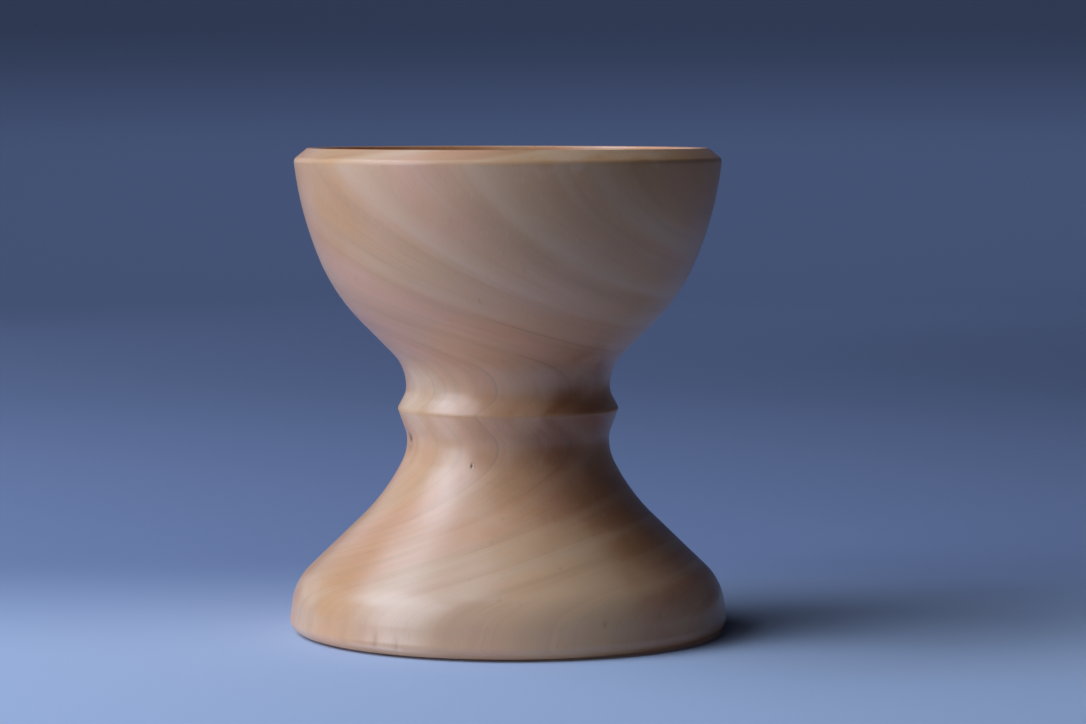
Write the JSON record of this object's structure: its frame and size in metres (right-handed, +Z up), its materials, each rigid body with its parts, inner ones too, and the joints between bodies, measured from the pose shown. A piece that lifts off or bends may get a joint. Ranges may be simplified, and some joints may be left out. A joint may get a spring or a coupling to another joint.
{
  "type": "communion chalice",
  "caption": "Turned wooden communion chalice: a round open cup and a flared foot joined at a sharp waist bead, with a felt pad underneath to rest on.",
  "frame": {"origin": "on the axis of turning, in the plane the chalice rests on", "axes": "+Z up along the axis of turning, from the foot to the rim; +X and +Y are free, because the chalice is round"},
  "size_m": [0.1016, 0.1016, 0.112],
  "materials": {
    "turned_wood": "pale close-grained hardwood, sanded fine, satin oil and wax",
    "tenon_wood": "plain turned hardwood, unfinished",
    "felt": "dense wool felt, matt"
  },
  "bodies": {
    "root": {"cup": "turned_wood", "foot": "turned_wood", "joint_tenon": "tenon_wood", "base_pad": "felt"}
  },
  "joints": []
}
